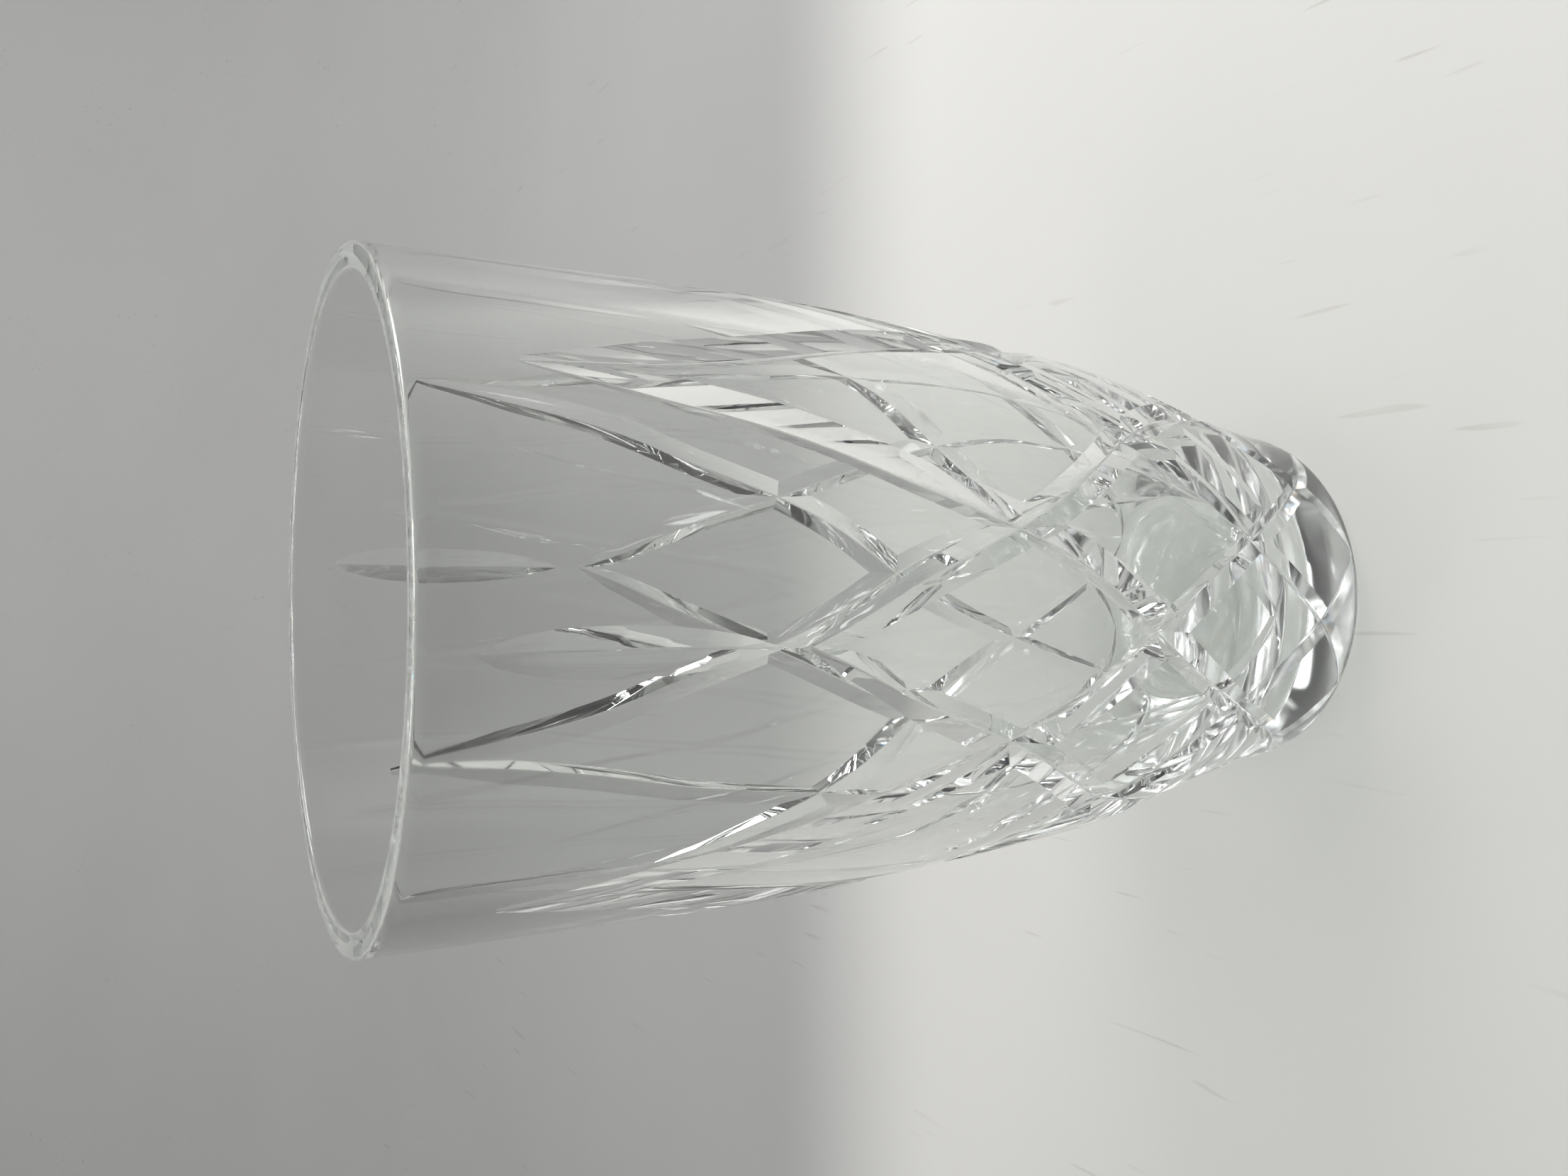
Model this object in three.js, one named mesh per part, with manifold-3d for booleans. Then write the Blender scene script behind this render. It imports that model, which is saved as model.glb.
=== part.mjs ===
// A tall cut-crystal whiskey tumbler, blown in one piece of clear lead crystal and cut on the wheel.
// Millimetres and degrees, +Z up; the origin is the centre of the foot.
// Azimuth runs from -Y towards +X; the cut pattern repeats every quarter turn, but two of the
// arches were started a little off their marks on the wheel.
import * as THREE from "three";
import { mergeVertices } from "three/addons/utils/BufferGeometryUtils.js";
import Module from "manifold-3d";

// Overall size.
const HEIGHT = 134;
const RIM_RADIUS = 40;
const RIM_WALL = 3.1;
const RIM_ROUNDING = 0.5;
const FOOT_RADIUS = 23.8;
const HEEL_ROUNDING = 1.6;

// Outside of the wall as [height, radius], from the foot to the rim.
const OUTER_WALL = [
  [0, FOOT_RADIUS],
  [16, 27.1],
  [33.5, 31.9],
  [53.5, 34.9],
  [80.5, 37.8],
  [107, 39.05],
  [HEIGHT, RIM_RADIUS],
];

// Inside of the cup as [radius, height], from the centre of the floor to the rim.
const CAVITY = [
  [0, 5.8],
  [9, 5.9],
  [13.2, 7.2],
  [16.8, 10.5],
  [19.8, 15.5],
  [23.4, 24],
  [27.3, 36],
  [30.6, 52],
  [33.6, 74],
  [35.6, 104],
  [RIM_RADIUS - RIM_WALL, HEIGHT],
];

// The cuts are straight-sided V grooves.
const QUARTERS = 4;
const GROOVE_HALF_ANGLE = 57;
const GROOVE_CLEARANCE = 1;

// Upright leaf cut, one in each quarter: heights of its tips and its greatest depth.
const LEAF_TOP = 0.957 * HEIGHT;
const LEAF_BOTTOM = 0.718 * HEIGHT;
const LEAF_DEPTH = 1.8;
// Course of a leaf as [part of the way down, part of the depth].
const LEAF_COURSE = [
  [0, 0],
  [0.06, 0.42],
  [0.14, 0.7],
  [0.23, 0.88],
  [0.46, 1],
  [0.74, 0.76],
  [1, 0],
];

// Diagonal cuts as [azimuth from the start, height as a part of the whole height, depth].
// The first kind starts in pairs below the lower tip of each leaf.
const LEAF_DIAGONAL = [
  [0, 0.695, 0.2],
  [3, 0.658, 1],
  [9.6, 0.592, 1.4],
  [20, 0.484, 1.6],
  [45, 0.3176, 1.75],
  [67.5, 0.172, 1.1],
  [90, 0.0596, 0.9],
  [104, 0.022, 0.6],
  [114, 0.008, 0],
];
// The second kind starts half way between two leaves, as the two legs of a tall narrow arch.
const ARCH_DIAGONAL = [
  [0, 0.91, 0.3],
  [4, 0.79, 1.55],
  [8.2, 0.7, 1.65],
  [15.8, 0.592, 1.65],
  [23.9, 0.477, 1.6],
  [45, 0.3176, 1.75],
  [67.5, 0.172, 1.1],
  [90, 0.0596, 0.9],
  [104, 0.022, 0.6],
  [114, 0.008, 0],
];
// How far the top of each arch was started off its mark; the shift has faded out after SHIFT_FADE.
const ARCH_TOP_SHIFTS = [-1, 0, 0, -1.5];
const SHIFT_FADE = 45;

// Faceting.
const TURN_SEGMENTS = 56;
const OUTER_ROWS = 14;
const CAVITY_ROWS = 10;
const ROUNDING_STEPS = 3;
const LEAF_SECTIONS = 8;
const DIAGONAL_SECTIONS = 22;

const RAD = Math.PI / 180;
const wasm = await Module();
wasm.setup();

// A smooth curve through points whose first number rises; gives the other numbers at t.
function along(points, t) {
  const last = points.length - 1;
  const found = points.findIndex((point, i) => i > 0 && t <= point[0]);
  const i = found < 0 ? last : found;
  const slope = (j, k) => {
    const a = points[Math.max(j - 1, 0)];
    const b = points[Math.min(j + 1, last)];
    return (b[k] - a[k]) / (b[0] - a[0]);
  };
  const span = points[i][0] - points[i - 1][0];
  const s = (t - points[i - 1][0]) / span;
  return points[i].slice(1).map((end, n) => {
    const k = n + 1;
    const start = points[i - 1][k];
    const bend = s * (1 - s) * ((1 - s) * slope(i - 1, k) - s * slope(i, k)) * span;
    return start + (end - start) * s * s * (3 - 2 * s) + bend;
  });
}

const outerRadius = (height) => along(OUTER_WALL, height)[0];

// Points of a rounded corner of the profile, from angle start to angle end.
function rounding(radius, x, y, start, end) {
  return Array.from({ length: ROUNDING_STEPS + 1 }, (_, i) => {
    const angle = (start + ((end - start) * i) / ROUNDING_STEPS) * RAD;
    return new THREE.Vector2(x + radius * Math.cos(angle), y + radius * Math.sin(angle));
  });
}

// Heights of the rows of the outer wall, between its two rounded corners.
function outerWallPoints() {
  const bottom = HEEL_ROUNDING;
  const top = HEIGHT - RIM_ROUNDING;
  return Array.from({ length: OUTER_ROWS - 1 }, (_, i) => {
    const height = bottom + ((top - bottom) * (i + 1)) / OUTER_ROWS;
    return new THREE.Vector2(outerRadius(height), height);
  });
}

// The wall of the cavity from under its rounded lip down to the centre of the floor.
function cavityPoints() {
  const curve = new THREE.SplineCurve(CAVITY.map(([r, z]) => new THREE.Vector2(r, z)));
  const points = curve.getSpacedPoints(CAVITY_ROWS).reverse();
  return points.filter((point) => point.y < HEIGHT - 2 * RIM_ROUNDING);
}

// The blank before cutting: thick-bottomed, open at the top.
function blank() {
  const heelX = outerRadius(HEEL_ROUNDING) - HEEL_ROUNDING;
  const rimX = RIM_RADIUS - RIM_ROUNDING;
  const lipX = RIM_RADIUS - RIM_WALL + RIM_ROUNDING;
  const rimY = HEIGHT - RIM_ROUNDING;
  const profile = [
    new THREE.Vector2(0, 0),
    ...rounding(HEEL_ROUNDING, heelX, HEEL_ROUNDING, -90, 0),
    ...outerWallPoints(),
    ...rounding(RIM_ROUNDING, rimX, rimY, 0, 90),
    ...rounding(RIM_ROUNDING, lipX, rimY, 90, 180),
    ...cavityPoints(),
  ];
  const turned = new THREE.LatheGeometry(profile, TURN_SEGMENTS).rotateX(Math.PI / 2);
  turned.deleteAttribute("normal");
  turned.deleteAttribute("uv");
  return solid(mergeVertices(turned, 1e-4));
}

function solid(geometry) {
  const vertProperties = new Float32Array(geometry.getAttribute("position").array);
  const triVerts = new Uint32Array(geometry.index.array);
  return new wasm.Manifold(new wasm.Mesh({ numProp: 3, vertProperties, triVerts }));
}

// A point of the outer surface; out pushes it along the outward normal.
function onSurface(azimuth, height, out = 0) {
  const step = 0.5;
  const lean = (outerRadius(height + step) - outerRadius(height - step)) / (2 * step);
  const shrink = 1 / Math.hypot(1, lean);
  const radius = outerRadius(height) + out * shrink;
  return new THREE.Vector3(
    radius * Math.sin(azimuth * RAD),
    -radius * Math.cos(azimuth * RAD),
    height - out * shrink * lean,
  );
}

// A V-shaped cutter swept along stations {azimuth, height, depth} of the outer surface.
function grooveCutter(stations) {
  const flare = Math.tan(GROOVE_HALF_ANGLE * RAD);
  const last = stations.length - 1;
  const corners = stations.flatMap(({ azimuth, height, depth }, i) => {
    const before = stations[Math.max(i - 1, 0)];
    const after = stations[Math.min(i + 1, last)];
    const ahead = onSurface(after.azimuth, after.height).sub(onSurface(before.azimuth, before.height));
    const foot = onSurface(azimuth, height);
    const normal = onSurface(azimuth, height, 1).sub(foot);
    const side = new THREE.Vector3().crossVectors(normal, ahead).normalize();
    const mouth = foot.clone().addScaledVector(normal, GROOVE_CLEARANCE);
    const halfWidth = (depth + GROOVE_CLEARANCE) * flare;
    return [
      foot.clone().addScaledVector(normal, -depth),
      mouth.clone().addScaledVector(side, halfWidth),
      mouth.clone().addScaledVector(side, -halfWidth),
    ];
  });
  const faces = [0, 2, 1, 3 * last, 3 * last + 1, 3 * last + 2];
  for (let i = 0; i < last; i += 1) {
    for (let j = 0; j < 3; j += 1) {
      const a = 3 * i + j;
      const b = 3 * i + ((j + 1) % 3);
      faces.push(a, b, b + 3, a, b + 3, a + 3);
    }
  }
  const geometry = new THREE.BufferGeometry().setFromPoints(corners).setIndex(faces);
  return solid(geometry);
}

// Stations of a diagonal; hand is +1 or -1 for the way it runs round the glass.
function diagonalStations(points, start, hand, topShift = 0) {
  const reach = points[points.length - 1][0];
  return Array.from({ length: DIAGONAL_SECTIONS + 1 }, (_, i) => {
    const offset = reach * (i / DIAGONAL_SECTIONS) ** 1.3;
    const [level, depth] = along(points, offset);
    const shift = topShift * Math.max(1 - offset / SHIFT_FADE, 0);
    return { azimuth: start + shift + hand * offset, height: level * HEIGHT, depth };
  });
}

// Stations of a leaf: the wheel enters and leaves the glass at the two tips.
function leafStations(azimuth) {
  return Array.from({ length: LEAF_SECTIONS + 1 }, (_, i) => {
    const s = i / LEAF_SECTIONS;
    return {
      azimuth,
      height: LEAF_TOP + (LEAF_BOTTOM - LEAF_TOP) * s,
      depth: LEAF_DEPTH * along(LEAF_COURSE, s)[0],
    };
  });
}

function allCutters() {
  const cutters = [];
  for (let quarter = 0; quarter < QUARTERS; quarter += 1) {
    const leaf = (quarter * 360) / QUARTERS;
    const arch = leaf + 180 / QUARTERS;
    cutters.push(grooveCutter(leafStations(leaf)));
    for (const hand of [1, -1]) {
      cutters.push(grooveCutter(diagonalStations(LEAF_DIAGONAL, leaf, hand)));
      const shift = ARCH_TOP_SHIFTS[quarter];
      cutters.push(grooveCutter(diagonalStations(ARCH_DIAGONAL, arch, hand, shift)));
    }
  }
  return cutters;
}

function meshOf(manifold, name, material) {
  const { numProp, vertProperties, triVerts } = manifold.getMesh();
  const geometry = new THREE.BufferGeometry();
  geometry.setAttribute("position", new THREE.BufferAttribute(new Float32Array(vertProperties), numProp));
  geometry.setIndex(new THREE.BufferAttribute(new Uint32Array(triVerts), 1));
  geometry.computeVertexNormals();
  const mesh = new THREE.Mesh(geometry, material);
  mesh.name = name;
  return mesh;
}

const crystal = new THREE.MeshStandardMaterial({
  color: 0xf4f8f8,
  metalness: 0,
  roughness: 0.05,
  transparent: true,
  opacity: 0.5,
});

const cutGlass = allCutters().reduce((glass, cutter) => glass.subtract(cutter), blank());
const tumbler = new THREE.Group();
tumbler.add(meshOf(cutGlass, "tumbler_glass", crystal));

export default tumbler;
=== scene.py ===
# A tall cut-crystal whiskey tumbler on a pale studio floor.
# The glass is turned as one blank and its V cuts are taken out of it, as on a cutting wheel.
import math

import bpy
import numpy as np
from mathutils import Matrix, Vector


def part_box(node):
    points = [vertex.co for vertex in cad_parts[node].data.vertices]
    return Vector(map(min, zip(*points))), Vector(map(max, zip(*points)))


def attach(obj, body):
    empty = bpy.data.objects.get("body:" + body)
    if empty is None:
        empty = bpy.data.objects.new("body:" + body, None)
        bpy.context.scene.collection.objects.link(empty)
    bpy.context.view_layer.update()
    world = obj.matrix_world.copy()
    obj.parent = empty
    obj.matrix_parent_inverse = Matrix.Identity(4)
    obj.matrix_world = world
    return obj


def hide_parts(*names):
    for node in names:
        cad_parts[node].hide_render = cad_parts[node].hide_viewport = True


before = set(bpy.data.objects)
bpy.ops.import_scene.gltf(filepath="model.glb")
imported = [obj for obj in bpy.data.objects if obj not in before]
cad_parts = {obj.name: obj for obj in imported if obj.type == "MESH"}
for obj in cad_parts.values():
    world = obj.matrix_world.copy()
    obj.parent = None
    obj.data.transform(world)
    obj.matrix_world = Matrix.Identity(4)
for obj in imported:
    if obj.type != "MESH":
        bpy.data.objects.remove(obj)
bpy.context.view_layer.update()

NODE = "tumbler_glass"
NODE_LOW, NODE_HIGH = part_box(NODE)

# Sizes of the glass, in millimetres and degrees.
MM = 0.001
HEIGHT = (NODE_HIGH[2] - NODE_LOW[2]) / MM
RIM_RADIUS = (NODE_HIGH[0] - NODE_LOW[0]) / 2 / MM
RIM_WALL = 3.1
RIM_ROUNDING = 0.5
CAVITY_TOP = HEIGHT - 1.5 * RIM_ROUNDING
HEEL_ROUNDING = 1.6

# Outside of the wall: heights and radii from the foot to the rim.
OUTER_HEIGHTS = [0, 16, 33.5, 53.5, 80.5, 107, HEIGHT]
OUTER_RADII = [23.8, 27.1, 31.9, 34.9, 37.8, 39.05, RIM_RADIUS]

# Inside of the cup, from the centre of the floor to the rim.
CAVITY_RADII = [0, 9, 13.2, 16.8, 19.8, 23.4, 27.3, 30.6, 33.6, 35.6, RIM_RADIUS - RIM_WALL]
CAVITY_HEIGHTS = [5.8, 5.9, 7.2, 10.5, 15.5, 24, 36, 52, 74, 104, HEIGHT]

# V cuts.
LEAF_AZIMUTHS = [0, 90, 180, 270]
ARCH_AZIMUTHS = [45, 135, 225, 315]
ARCH_TOP_SHIFTS = [-1, 0, 0, -1.5]
SHIFT_FADE = 45
GROOVE_HALF_ANGLE = 57
GROOVE_ROOT_RADIUS = 0.3
GROOVE_CLEARANCE = 1

# Upright leaf cut.
LEAF_TOP = 0.957 * HEIGHT
LEAF_BOTTOM = 0.718 * HEIGHT
LEAF_DEPTH = 1.8
LEAF_COURSE = [0, 0.06, 0.14, 0.23, 0.35, 0.46, 0.62, 0.74, 0.85, 0.93, 1]
LEAF_FULLNESS = [0, 0.42, 0.7, 0.88, 0.97, 1, 0.92, 0.76, 0.53, 0.26, 0]

# Diagonal cuts: azimuth from the start, height as a part of the whole, and depth.
LEAF_DIAGONAL = {
    "turn": [0, 3, 9.6, 20, 45, 67.5, 90, 104, 114],
    "level": [0.695, 0.658, 0.592, 0.484, 0.3176, 0.172, 0.0596, 0.022, 0.008],
    "depth": [0.2, 1.0, 1.4, 1.6, 1.75, 1.1, 0.9, 0.6, 0],
}
ARCH_DIAGONAL = {
    "turn": [0, 4, 8.2, 15.8, 23.9, 45, 67.5, 90, 104, 114],
    "level": [0.91, 0.79, 0.7, 0.592, 0.477, 0.3176, 0.172, 0.0596, 0.022, 0.008],
    "depth": [0.3, 1.55, 1.65, 1.65, 1.6, 1.75, 1.1, 0.9, 0.6, 0],
}

# Fineness of the meshes.
TURN_SEGMENTS = 288
WALL_STEP = 1.0
ROUNDING_STEPS = 8
GROOVE_SECTIONS = 110
GROOVE_CROWDING = 1.3
ROOT_STEPS = 4
FLOOR_ROWS = 13
FLOOR_TURN_STEP = 5

# Crystal: tint of each pass through its skin, deeper low down where the glass is thick.
WHITE = (1, 1, 1, 1)
CRYSTAL_IOR = 1.545
CRYSTAL_TINTS = ((0.885, 0.905, 0.893, 1), (0.915, 0.918, 0.912, 1))
CRYSTAL_MOTTLE = {"scale": 28, "detail": 2}
THICK_TINT = (0.915, 0.93, 0.922, 1)
THICK_GLASS = (0.006, 0.050)
SHADOW_TINT = (0.90, 0.91, 0.905, 1)

# Wear of the crystal, as roughness: faint smudges, hairlines, and a scuffed ring under the foot.
# Here and below, a spread is the range of a noise over which its marks fade in.
SMUDGE_SPREAD = (0.45, 0.75)
SMUDGE = (0.0, 0.018)
HAIRLINES = {"scale": 150, "detail": 0, "stretch": (1, 1, 0.08), "turn": 30}
HAIRLINE_SPREAD = (0.70, 0.73)
HAIRLINE = (0.0, 0.04)
FOOT_SCUFF = (0.10, 0.0)
FOOT_SCUFF_HEIGHT = (0.0003, 0.0012)

# Relief of the crystal, in metres: waves from polishing by hand, and a stippled cup floor.
WAVES = {"scale": 90, "detail": 0}
WAVE_HEIGHT = 0.00004
STIPPLE_DOTS = {"scale": 900, "detail": 0}
STIPPLE_SHARE = 1.5
STIPPLE_RADIUS = (0.0125, 0.0155)
STIPPLE_HEIGHT = (0.0062, 0.0100)
FOOT_CLEAR = (0.003, 0.004)

# Camera, in millimetres and degrees: where it stands round the glass, how far it looks aside
# and down, its distance from the axis and its height.
VIEW_AZIMUTH = 7.52
VIEW_ASIDE = 0.446
VIEW_PITCH = 26.13
VIEW_DISTANCE = 173.07
VIEW_HEIGHT = 162.48
LENS = 34.0
SENSOR_WIDTH = 36

# Paper under the glass, in metres: flat, then curved up all round.
FLOOR_REACH = 0.45
FLOOR_BEND = 0.60
FLOOR_RISE = 60
FLOOR_GAP = 0.0003

# Tones of the paper: the table; painted shade behind it, greyer as a back wall in less light; and
# painted shade on the camera's side.
TABLE_TONE = (0.74, 0.735, 0.705, 1)
BACKDROP_SHADE_TONE = (0.42, 0.418, 0.412, 1)
BACKDROP_SHADE_START = (0.085, 0.165)
SHADE_START = (-0.45, -0.12)
SHADE_TONE = (0.40, 1)

# Grain and marks of the paper.
PAPER_GRAIN = {"scale": 9, "detail": 8}
PAPER_MOTTLE = (0.95, 1.04)
PAPER_ROUGHNESS = (0.5, 0.7)
FIBRES = {"scale": 350, "detail": 6}
FIBRE_HEIGHT = 0.0001
FIBRE_STRENGTH = 0.3
SPECK_CELLS = 22
SPECK_PATCHES = {"scale": 6, "detail": 2}
SPECK_SPREAD = (0.54, 0.72)
SPECK_SIZE = (0.0, 0.035)
SPECK_TONE = (0.35, 0.34, 0.31, 1)
SCRATCHES = {"scale": 700, "detail": 0, "stretch": (1, 0.06, 1), "turn": 25}
SCRATCH_SPREAD = (0.76, 0.80)
SCRATCH_PATCHES = {"scale": 16, "detail": 2}
SCRATCH_PATCH_SPREAD = (0.50, 0.62)
SCRATCH_TONE = (0.86, 0.85, 0.83, 1)

# Lights: place, aim, size, power in watts, colour.
PANELS = {
    "left_panel": ((-0.29, 0.02, 0.95), (-0.05, 0.02, 0), (0.13, 0.20), 1.4, (1, 1, 1)),
    "right_panel": ((0.10, 0.02, 0.95), (0.05, 0.02, 0), (0.13, 0.20), 1.6, (1, 1, 1)),
    "back_panel": ((0.05, 0.60, 0.75), (0.03, 0.72, 0.05), (0.50, 0.12), 2.4, (1, 1, 1)),
    "side_panel": ((0.50, 0.10, 0.45), (0.05, 0.05, 0), (0.30, 0.30), 2.6, (1, 1, 1)),
}

# Small lamps overhead: a white one at each place, with a cool and a warm one shifted to its sides.
LED_HEIGHT = 0.92
LED_SIZE = (0.020, 0.020)
LED_POWER = 0.075
LED_PLACES = ((-0.16, -0.12), (-0.09, 0.16), (-0.03, -0.20), (0.05, -0.10), (0.12, 0.12), (0.2, -0.16))
LED_COLOURS = ((0, (1, 1, 1)), (-0.022, (0.25, 0.6, 1)), (0.022, (1, 0.65, 0.25)))

# World: colour, and strengths on the camera's side, at the other sides and overhead.
WORLD_COLOUR = (0.97, 0.98, 1.0, 1)
WORLD_FRONT = 0.03
WORLD_AROUND = 0.06
WORLD_OVERHEAD = 0.03
FRONT_EDGE = (-0.75, -0.1)
OVERHEAD_EDGE = (0.5, 0.9)

# Bounces of light: many, because the rim and the cuts pass it on from face to face.
GLASS_BOUNCES = 80
GLOSSY_BOUNCES = 40


def spline(xs, ys):
    """A natural cubic spline through the points, as a function of x."""
    xs = np.asarray(xs, float)
    ys = np.asarray(ys, float)
    gaps = np.diff(xs)
    slopes = np.diff(ys) / gaps
    size = len(xs)
    matrix = np.eye(size)
    right = np.zeros(size)
    for i in range(1, size - 1):
        matrix[i, i - 1:i + 2] = gaps[i - 1], 2 * (gaps[i - 1] + gaps[i]), gaps[i]
        right[i] = 6 * (slopes[i] - slopes[i - 1])
    bend = np.linalg.solve(matrix, right)

    def value(x):
        x = np.asarray(x, float)
        i = np.clip(np.searchsorted(xs, x) - 1, 0, size - 2)
        gap = gaps[i]
        before = x - xs[i]
        after = xs[i + 1] - x
        cubic = (bend[i] * after ** 3 + bend[i + 1] * before ** 3) / (6 * gap)
        return (
            cubic
            + (ys[i] / gap - bend[i] * gap / 6) * after
            + (ys[i + 1] / gap - bend[i + 1] * gap / 6) * before
        )

    return value


outer_radius = spline(OUTER_HEIGHTS, OUTER_RADII)


def unit(vectors):
    """The vectors at length one."""
    return vectors / np.linalg.norm(vectors, axis=-1, keepdims=True)


def lean(height, step=0.25):
    """How fast the outer wall widens with height."""
    return (outer_radius(height + step) - outer_radius(height - step)) / (2 * step)


def arc(radius, x, y, start, end):
    """Points of a round corner about x and y, from the start angle to the end angle."""
    angles = np.radians(np.linspace(start, end, ROUNDING_STEPS + 1))
    return np.column_stack([x + radius * np.cos(angles), y + radius * np.sin(angles)])


def cavity_profile():
    """The inside of the cup from just under the lip down to the centre of the floor."""
    knots = np.column_stack([CAVITY_RADII, CAVITY_HEIGHTS])
    travel = np.append(0, np.cumsum(np.linalg.norm(np.diff(knots, axis=0), axis=1)))
    along = np.linspace(0, travel[-1], int(travel[-1] / WALL_STEP))
    # The mirrored first knot keeps the floor level at its centre.
    mirrored = np.append(-travel[1], travel)
    radius = spline(mirrored, np.append(-knots[1, 0], knots[:, 0]))(along)
    height = spline(mirrored, np.append(knots[1, 1], knots[:, 1]))(along)
    points = np.column_stack([radius, height])[::-1]
    return points[points[:, 1] < CAVITY_TOP]


def blank_profile():
    """Radius and height, from the centre of the foot over the rim to the centre of the floor."""
    foot_lean = math.atan(lean(HEEL_ROUNDING))
    wall_start = HEEL_ROUNDING * (1 - math.sin(foot_lean))
    heel_x = outer_radius(wall_start) - HEEL_ROUNDING * math.cos(foot_lean)
    rim_y = HEIGHT - RIM_ROUNDING
    rows = int((rim_y - wall_start) / WALL_STEP)
    wall_heights = np.linspace(wall_start, rim_y, rows + 1)[1:-1]
    return np.vstack([
        [[0, 0]],
        arc(HEEL_ROUNDING, heel_x, HEEL_ROUNDING, -90, -math.degrees(foot_lean)),
        np.column_stack([outer_radius(wall_heights), wall_heights]),
        arc(RIM_ROUNDING, RIM_RADIUS - RIM_ROUNDING, rim_y, 0, 90),
        arc(RIM_ROUNDING, RIM_RADIUS - RIM_WALL + RIM_ROUNDING, rim_y, 90, 180),
        cavity_profile(),
    ])


def profile_normals(profile):
    """Outward normals of the profile, upright at both of its ends."""
    travel = np.append(0, np.cumsum(np.linalg.norm(np.diff(profile, axis=0), axis=1)))
    ahead = np.gradient(profile, travel, axis=0)
    normals = np.column_stack([ahead[:, 1], -ahead[:, 0]])
    normals[0] = 0, -1
    normals[-1] = 0, 1
    return unit(normals)


def turned(flat, azimuths):
    """Radius and height pairs swung to each azimuth: rows of the profile by turns."""
    radius = flat[:, None, 0]
    height = np.broadcast_to(flat[:, None, 1], (len(flat), len(azimuths)))
    return np.stack([radius * np.sin(azimuths), -radius * np.cos(azimuths), height], axis=-1)


def mesh_object(name, points, faces, corner_normals):
    """A mesh in metres, with the exact normal kept at each corner of each face."""
    mesh = bpy.data.meshes.new(name)
    mesh.from_pydata((points * MM).tolist(), [], faces)
    exact = mesh.attributes.new("exact_normal", "FLOAT_VECTOR", "CORNER")
    exact.data.foreach_set("vector", np.asarray(corner_normals, np.float32).ravel())
    obj = bpy.data.objects.new(name, mesh)
    bpy.context.scene.collection.objects.link(obj)
    return obj


def make_blank():
    """The glass as turned, before it is cut."""
    profile = blank_profile()
    azimuths = np.arange(TURN_SEGMENTS) * 2 * math.pi / TURN_SEGMENTS
    rings = turned(profile[1:-1], azimuths)
    ring_normals = turned(profile_normals(profile)[1:-1], azimuths)
    points = np.vstack([rings.reshape(-1, 3), [[0, 0, profile[0, 1]], [0, 0, profile[-1, 1]]]])
    normals = np.vstack([ring_normals.reshape(-1, 3), [[0, 0, -1], [0, 0, 1]]])
    last_ring = len(rings) - 1
    foot_centre = len(points) - 2
    floor_centre = len(points) - 1
    faces = []
    for turn in range(TURN_SEGMENTS):
        after = (turn + 1) % TURN_SEGMENTS
        faces.append((foot_centre, after, turn))
        for row in range(last_ring):
            low = row * TURN_SEGMENTS
            high = low + TURN_SEGMENTS
            faces.append((low + turn, low + after, high + after, high + turn))
        top = last_ring * TURN_SEGMENTS
        faces.append((floor_centre, top + turn, top + after))
    corners = np.concatenate(faces)
    return mesh_object("crystal_blank", points, faces, normals[corners])


def on_wall(azimuths, heights):
    """Points and outward normals of the outer wall."""
    angles = np.radians(azimuths)
    radius = outer_radius(heights)
    slope = lean(heights)
    points = np.column_stack([radius * np.sin(angles), -radius * np.cos(angles), heights])
    normals = np.column_stack([np.sin(angles), -np.cos(angles), -slope])
    return points, unit(normals)


def groove_section(depth):
    """Across and outward offsets of a V section with a rounded root, and its tangents."""
    half = math.radians(GROOVE_HALF_ANGLE)
    reach = (depth + GROOVE_CLEARANCE) * math.tan(half)
    centre = GROOVE_ROOT_RADIUS / math.sin(half) - depth
    swing = np.linspace(half - math.pi / 2, math.pi / 2 - half, ROOT_STEPS + 1)
    across = np.concatenate([[-reach], GROOVE_ROOT_RADIUS * np.sin(swing), [reach]])
    out = np.concatenate([
        [GROOVE_CLEARANCE],
        centre - GROOVE_ROOT_RADIUS * np.cos(swing),
        [GROOVE_CLEARANCE],
    ])
    bearing = np.concatenate([swing[:1], swing, swing[-1:]])
    return across, out, bearing


def make_groove(name, azimuths, heights, depths):
    """A cutter swept along the outer wall."""
    foot, outward = on_wall(azimuths, heights)
    sideways = unit(np.cross(outward, np.gradient(foot, axis=0)))
    strands = []
    tangents = []
    for point, normal, side, depth in zip(foot, outward, sideways, depths):
        across, out, bearing = groove_section(depth)
        strands.append(point + across[:, None] * side + out[:, None] * normal)
        tangents.append(np.cos(bearing)[:, None] * side + np.sin(bearing)[:, None] * normal)
    strands = np.array(strands)
    normals = unit(np.cross(np.gradient(strands, axis=0), np.array(tangents)))
    normals *= np.sign(np.sum(normals * outward[:, None, :], axis=-1, keepdims=True))
    sections, width = strands.shape[:2]
    faces = [tuple(range(width))[::-1], tuple(range((sections - 1) * width, sections * width))]
    for i in range(sections - 1):
        for j in range(width):
            a = i * width + j
            b = i * width + (j + 1) % width
            faces.append((a, b, b + width, a + width))
    corners = np.concatenate(faces)
    return mesh_object(name, strands.reshape(-1, 3), faces, normals.reshape(-1, 3)[corners])


def leaf_groove(azimuth):
    """The cutter of one upright leaf."""
    s = np.linspace(0, 1, GROOVE_SECTIONS)
    heights = LEAF_TOP + (LEAF_BOTTOM - LEAF_TOP) * s
    depths = LEAF_DEPTH * np.interp(s, LEAF_COURSE, LEAF_FULLNESS)
    return make_groove("leaf_cut", np.full_like(s, azimuth), heights, depths)


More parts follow.
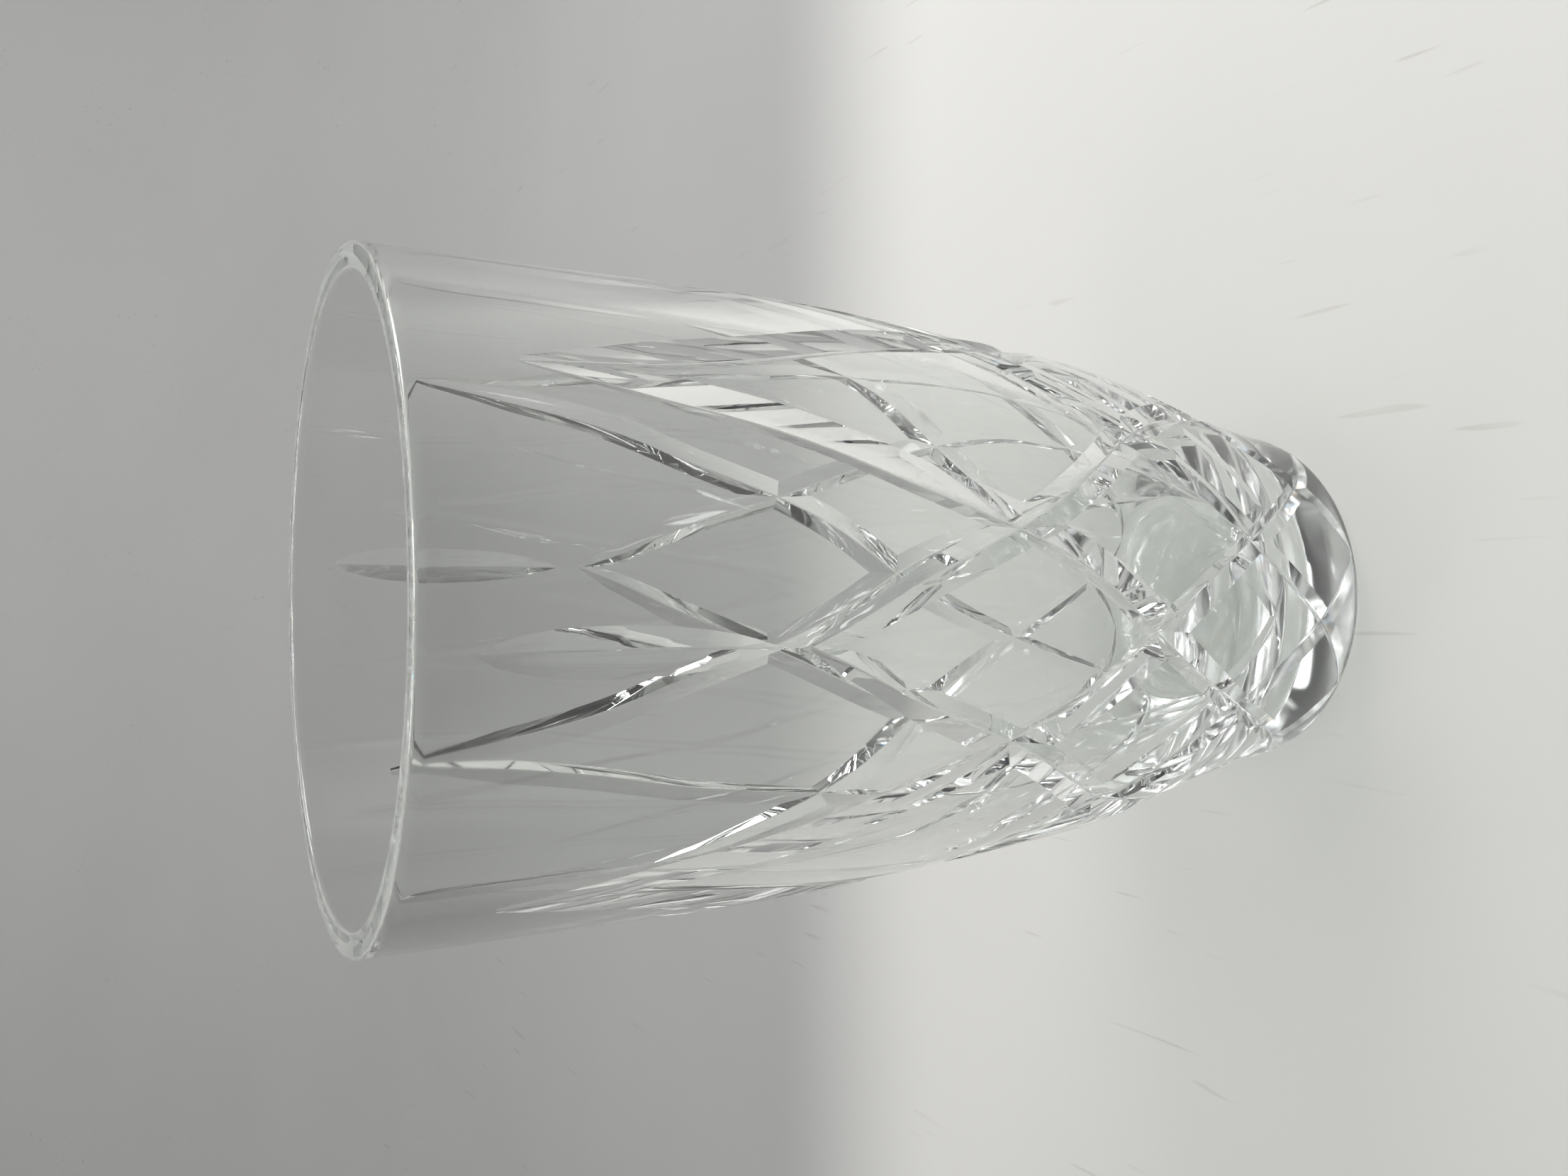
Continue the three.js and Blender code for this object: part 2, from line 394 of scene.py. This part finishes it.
def diagonal_groove(course, azimuth, hand, top_shift=0):
    """A diagonal that leaves its start to one hand; the shift of its top fades out lower down."""
    turn = course["turn"][-1] * np.linspace(0, 1, GROOVE_SECTIONS) ** GROOVE_CROWDING
    heights = spline(course["turn"], course["level"])(turn) * HEIGHT
    depths = np.interp(turn, course["turn"], course["depth"])
    shifts = top_shift * np.clip(1 - turn / SHIFT_FADE, 0, 1)
    return make_groove("diagonal_cut", azimuth + shifts + hand * turn, heights, depths)


def all_grooves():
    """The cutters of the leaves, then of the diagonals that lean each way."""
    grooves = [leaf_groove(azimuth) for azimuth in LEAF_AZIMUTHS]
    for hand in (1, -1):
        for azimuth in LEAF_AZIMUTHS:
            grooves.append(diagonal_groove(LEAF_DIAGONAL, azimuth, hand))
        for azimuth, shift in zip(ARCH_AZIMUTHS, ARCH_TOP_SHIFTS):
            grooves.append(diagonal_groove(ARCH_DIAGONAL, azimuth, hand, shift))
    return grooves


def cut_glass(blank, grooves):
    """The blank with every groove taken out of it, shaded with the exact normals."""
    for groove in grooves:
        cut = blank.modifiers.new(groove.name, "BOOLEAN")
        cut.operation = "DIFFERENCE"
        cut.solver = "MANIFOLD"
        cut.object = groove
    depsgraph = bpy.context.evaluated_depsgraph_get()
    mesh = bpy.data.meshes.new_from_object(blank.evaluated_get(depsgraph))
    for tool in [blank, *grooves]:
        bpy.data.objects.remove(tool)
    normals = np.empty(3 * len(mesh.loops), np.float32)
    mesh.attributes["exact_normal"].data.foreach_get("vector", normals)
    mesh.attributes.remove(mesh.attributes["exact_normal"])
    mesh.shade_smooth()
    mesh.normals_split_custom_set(unit(normals.reshape(-1, 3)).tolist())
    mesh.name = "cut_crystal"
    glass = bpy.data.objects.new("cut_crystal", mesh)
    bpy.context.scene.collection.objects.link(glass)
    return glass


def new_material(name):
    """A new material and its node tree."""
    material = bpy.data.materials.new(name)
    material.use_nodes = True
    return material, material.node_tree


def remap(tree, value, source, target, smooth=False):
    """The value carried from one range to another, held inside it."""
    node = tree.nodes.new("ShaderNodeMapRange")
    if smooth:
        node.interpolation_type = "SMOOTHSTEP"
    node.inputs["From Min"].default_value, node.inputs["From Max"].default_value = source
    node.inputs["To Min"].default_value, node.inputs["To Max"].default_value = target
    tree.links.new(value, node.inputs["Value"])
    return node.outputs["Result"]


def noise(tree, place, scale, detail, stretch=(1, 1, 1), turn=0):
    """Noise over the place, finer with scale, drawn out by stretch after a turn in degrees."""
    mapping = tree.nodes.new("ShaderNodeMapping")
    mapping.inputs["Scale"].default_value = stretch
    mapping.inputs["Rotation"].default_value = (0, 0, math.radians(turn))
    node = tree.nodes.new("ShaderNodeTexNoise")
    node.inputs["Scale"].default_value = scale
    node.inputs["Detail"].default_value = detail
    tree.links.new(place, mapping.inputs["Vector"])
    tree.links.new(mapping.outputs["Vector"], node.inputs["Vector"])
    return node.outputs["Fac"]


def math_node(tree, operation, first, second):
    """An operation on two values, each one a socket or a number."""
    node = tree.nodes.new("ShaderNodeMath")
    node.operation = operation
    for socket, value in zip(node.inputs, (first, second)):
        if isinstance(value, bpy.types.NodeSocket):
            tree.links.new(value, socket)
        else:
            socket.default_value = value
    return node.outputs[0]


def blend(tree, factor, first, second, kind="MIX"):
    """Two colours mixed by a factor, each one a socket or a colour."""
    node = tree.nodes.new("ShaderNodeMix")
    node.data_type = "RGBA"
    node.blend_type = kind
    for name, value in (("Factor_Float", factor), ("A_Color", first), ("B_Color", second)):
        socket = next(i for i in node.inputs if i.identifier == name)
        if isinstance(value, bpy.types.NodeSocket):
            tree.links.new(value, socket)
        else:
            socket.default_value = value
    return next(o for o in node.outputs if o.identifier == "Result_Color")


def bump(tree, height, distance, strength=1):
    """A normal that follows the height, which is given in parts of the distance."""
    node = tree.nodes.new("ShaderNodeBump")
    node.inputs["Distance"].default_value = distance
    node.inputs["Strength"].default_value = strength
    tree.links.new(height, node.inputs["Height"])
    return node.outputs["Normal"]


def crystal_roughness(tree, place, height, mottle):
    """Clear polish with faint smudges and hairlines, and a scuffed ring where the foot stands."""
    smudge = remap(tree, mottle, SMUDGE_SPREAD, SMUDGE)
    hairline = remap(tree, noise(tree, place, **HAIRLINES), HAIRLINE_SPREAD, HAIRLINE)
    scuff = remap(tree, height, FOOT_SCUFF_HEIGHT, FOOT_SCUFF, smooth=True)
    return math_node(tree, "ADD", math_node(tree, "ADD", smudge, hairline), scuff)


def cup_floor_mask(tree, split):
    """The share of stippling: full over the floor of the cup, nought elsewhere."""
    across = tree.nodes.new("ShaderNodeCombineXYZ")
    tree.links.new(split.outputs["X"], across.inputs["X"])
    tree.links.new(split.outputs["Y"], across.inputs["Y"])
    radius = tree.nodes.new("ShaderNodeVectorMath")
    radius.operation = "LENGTH"
    tree.links.new(across.outputs["Vector"], radius.inputs[0])
    inside = remap(tree, radius.outputs["Value"], STIPPLE_RADIUS, (STIPPLE_SHARE, 0), smooth=True)
    below = remap(tree, split.outputs["Z"], STIPPLE_HEIGHT, (1, 0), smooth=True)
    above = remap(tree, split.outputs["Z"], FOOT_CLEAR, (0, 1))
    return math_node(tree, "MULTIPLY", math_node(tree, "MULTIPLY", inside, below), above)


def crystal_normal(tree, place, split):
    """Slight waves of hand polishing, and the stippled floor of the cup."""
    waves = noise(tree, place, **WAVES)
    dots = noise(tree, place, **STIPPLE_DOTS)
    stipple = math_node(tree, "MULTIPLY", dots, cup_floor_mask(tree, split))
    return bump(tree, math_node(tree, "ADD", waves, stipple), WAVE_HEIGHT)


def let_lamps_through(tree, shader):
    """Gives lamp rays a clear way through the shader, so that its shadow is light."""
    clear = tree.nodes.new("ShaderNodeBsdfTransparent")
    clear.inputs["Color"].default_value = SHADOW_TINT
    choice = tree.nodes.new("ShaderNodeMixShader")
    path = tree.nodes.new("ShaderNodeLightPath")
    tree.links.new(path.outputs["Is Shadow Ray"], choice.inputs[0])
    tree.links.new(shader.outputs["BSDF"], choice.inputs[1])
    tree.links.new(clear.outputs["BSDF"], choice.inputs[2])
    tree.links.new(choice.outputs["Shader"], tree.nodes["Material Output"].inputs["Surface"])


def crystal_tint(tree, height, mottle):
    """The tint, a little uneven, and deeper towards the thick base."""
    thick = remap(tree, height, THICK_GLASS, (1, 0), smooth=True)
    base_tint = blend(tree, thick, WHITE, THICK_TINT)
    return blend(tree, 1, blend(tree, mottle, *CRYSTAL_TINTS), base_tint, "MULTIPLY")


def crystal_material():
    """Clear lead crystal."""
    material, tree = new_material("lead_crystal")
    shader = tree.nodes["Principled BSDF"]
    place = tree.nodes.new("ShaderNodeTexCoord").outputs["Object"]
    split = tree.nodes.new("ShaderNodeSeparateXYZ")
    tree.links.new(place, split.inputs["Vector"])
    height = split.outputs["Z"]
    mottle = noise(tree, place, **CRYSTAL_MOTTLE)
    tree.links.new(crystal_tint(tree, height, mottle), shader.inputs["Base Color"])
    shader.inputs["Transmission Weight"].default_value = 1
    shader.inputs["IOR"].default_value = CRYSTAL_IOR
    rough = crystal_roughness(tree, place, height, mottle)
    tree.links.new(rough, shader.inputs["Roughness"])
    tree.links.new(crystal_normal(tree, place, split), shader.inputs["Normal"])
    let_lamps_through(tree, shader)
    return material


def camera():
    """The viewpoint of the picture: a little above the rim, turned on its side."""
    data = bpy.data.cameras.new("camera")
    data.lens = LENS
    data.sensor_width = SENSOR_WIDTH
    obj = bpy.data.objects.new("camera", data)
    bpy.context.scene.collection.objects.link(obj)
    azimuth = math.radians(VIEW_AZIMUTH)
    heading = azimuth - math.radians(VIEW_ASIDE)
    pitch = math.radians(VIEW_PITCH)
    distance = VIEW_DISTANCE * MM
    rise = VIEW_HEIGHT * MM
    right = Vector((math.cos(heading), math.sin(heading), 0))
    forward = Vector((
        -math.sin(heading) * math.cos(pitch),
        math.cos(heading) * math.cos(pitch),
        -math.sin(pitch),
    ))
    down = forward.cross(right)
    axes = Matrix((down, right, -forward)).transposed()
    place = Vector((distance * math.sin(azimuth), -distance * math.cos(azimuth), rise))
    obj.matrix_world = Matrix.Translation(place) @ axes.to_4x4()
    bpy.context.scene.camera = obj


def paper_marks(tree, place, table, colour):
    """The colour with sparse specks of dust on the table and short faint scratches."""
    cells = tree.nodes.new("ShaderNodeTexVoronoi")
    cells.inputs["Scale"].default_value = SPECK_CELLS
    tree.links.new(place, cells.inputs["Vector"])
    size = remap(tree, noise(tree, place, **SPECK_PATCHES), SPECK_SPREAD, SPECK_SIZE)
    on_table = math_node(tree, "MULTIPLY", size, table)
    speck = math_node(tree, "LESS_THAN", cells.outputs["Distance"], on_table)
    speckled = blend(tree, speck, colour, SPECK_TONE)
    line = remap(tree, noise(tree, place, **SCRATCHES), SCRATCH_SPREAD, (0, 1))
    patch = remap(tree, noise(tree, place, **SCRATCH_PATCHES), SCRATCH_PATCH_SPREAD, (0, 1))
    scratch = math_node(tree, "MULTIPLY", line, patch)
    scratched = blend(tree, scratch, WHITE, SCRATCH_TONE)
    return blend(tree, 1, speckled, scratched, "MULTIPLY")


def floor_material():
    """Pale paper with painted shade: greyer behind the glass, as a back wall in less light, and darker
    on the camera's side.
    """
    material, tree = new_material("table_top")
    shader = tree.nodes["Principled BSDF"]
    place = tree.nodes.new("ShaderNodeTexCoord").outputs["Object"]
    split = tree.nodes.new("ShaderNodeSeparateXYZ")
    tree.links.new(place, split.inputs["Vector"])
    depth = split.outputs["Y"]
    # Painted shade: the paper turns greyer behind the glass, as a back wall in less light would.
    backdrop_shade_mask = remap(tree, depth, BACKDROP_SHADE_START, (0, 1), smooth=True)
    backdrop_shaded_tone = blend(tree, backdrop_shade_mask, TABLE_TONE, BACKDROP_SHADE_TONE)
    # Painted shade: the paper is darker on the camera's side.
    shade = remap(tree, depth, SHADE_START, SHADE_TONE, smooth=True)
    shaded = blend(tree, 1, backdrop_shaded_tone, shade, "MULTIPLY")
    mottle = noise(tree, place, **PAPER_GRAIN)
    mottled = blend(tree, 1, shaded, remap(tree, mottle, (0, 1), PAPER_MOTTLE), "MULTIPLY")
    table = math_node(tree, "SUBTRACT", 1, backdrop_shade_mask)
    marked = paper_marks(tree, place, table, mottled)
    tree.links.new(marked, shader.inputs["Base Color"])
    rough = remap(tree, mottle, (0, 1), PAPER_ROUGHNESS)
    tree.links.new(rough, shader.inputs["Roughness"])
    fibre = bump(tree, noise(tree, place, **FIBRES), FIBRE_HEIGHT, FIBRE_STRENGTH)
    tree.links.new(fibre, shader.inputs["Normal"])
    return material


def dish_mesh():
    """A wide shallow dish: flat in the middle, rising smoothly far from it."""
    bend = np.radians(np.linspace(0, FLOOR_RISE, FLOOR_ROWS))
    reach = np.append(0, FLOOR_REACH + FLOOR_BEND * np.sin(bend))
    height = np.append(0, FLOOR_BEND * (1 - np.cos(bend))) - FLOOR_GAP
    turns = np.radians(np.arange(0, 360, FLOOR_TURN_STEP))
    count = len(turns)
    points = [(0, 0, height[0])]
    for out, up in zip(reach[1:], height[1:]):
        points += [(out * math.cos(turn), out * math.sin(turn), up) for turn in turns]
    faces = [(0, 1 + i, 1 + (i + 1) % count) for i in range(count)]
    for row in range(len(reach) - 2):
        for i in range(count):
            a = 1 + row * count + i
            b = 1 + row * count + (i + 1) % count
            faces.append((a, a + count, b + count, b))
    mesh = bpy.data.meshes.new("floor")
    mesh.from_pydata(points, [], faces)
    mesh.shade_smooth()
    return mesh


def stage_floor():
    """The paper under the glass, turned to the camera."""
    mesh = dish_mesh()
    mesh.materials.append(floor_material())
    floor = bpy.data.objects.new("floor", mesh)
    bpy.context.scene.collection.objects.link(floor)
    floor.rotation_euler = (0, 0, math.radians(VIEW_AZIMUTH))


def area_light(name, place, aim, size, power, colour):
    """A rectangular lamp that looks from its place at its aim."""
    data = bpy.data.lights.new(name, "AREA")
    data.shape = "RECTANGLE"
    data.size, data.size_y = size
    data.energy = power
    data.color = colour
    obj = bpy.data.objects.new(name, data)
    bpy.context.scene.collection.objects.link(obj)
    obj.location = place
    obj.rotation_mode = "QUATERNION"
    obj.rotation_quaternion = (Vector(aim) - Vector(place)).to_track_quat("-Z", "Y")


def lights():
    """The soft panels, then the small lamps."""
    for name, setting in PANELS.items():
        area_light(name, *setting)
    for x, y in LED_PLACES:
        for shift, colour in LED_COLOURS:
            place = (x + shift, y, LED_HEIGHT)
            area_light("led", place, (0, 0, 0), LED_SIZE, LED_POWER, colour)


def studio_world():
    """Weak light from all round, weaker on the camera's side and overhead."""
    world = bpy.data.worlds.new("studio")
    world.use_nodes = True
    tree = world.node_tree
    place = tree.nodes.new("ShaderNodeTexCoord")
    turn = tree.nodes.new("ShaderNodeMapping")
    turn.inputs["Rotation"].default_value = (0, 0, math.radians(-VIEW_AZIMUTH))
    split = tree.nodes.new("ShaderNodeSeparateXYZ")
    tree.links.new(place.outputs["Generated"], turn.inputs["Vector"])
    tree.links.new(turn.outputs["Vector"], split.inputs["Vector"])
    around = remap(tree, split.outputs["Y"], FRONT_EDGE, (WORLD_FRONT, WORLD_AROUND), smooth=True)
    overhead = remap(tree, split.outputs["Z"], OVERHEAD_EDGE, (0, 1), smooth=True)
    strength = tree.nodes.new("ShaderNodeMix")
    tree.links.new(overhead, strength.inputs["Factor"])
    tree.links.new(around, strength.inputs["A"])
    strength.inputs["B"].default_value = WORLD_OVERHEAD
    background = tree.nodes["Background"]
    tree.links.new(strength.outputs["Result"], background.inputs["Strength"])
    background.inputs["Color"].default_value = WORLD_COLOUR
    bpy.context.scene.world = world


glass = cut_glass(make_blank(), all_grooves())
glass.data.materials.clear()
glass.data.materials.append(crystal_material())
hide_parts(NODE)
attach(glass, "root")
camera()
stage_floor()
lights()
studio_world()

scene = bpy.context.scene
scene.view_settings.view_transform = "Standard"
scene.cycles.max_bounces = GLASS_BOUNCES
scene.cycles.transmission_bounces = GLASS_BOUNCES
scene.cycles.glossy_bounces = GLOSSY_BOUNCES
scene.cycles.use_denoising = True
scene.cycles.caustics_refractive = False
scene.cycles.caustics_reflective = False
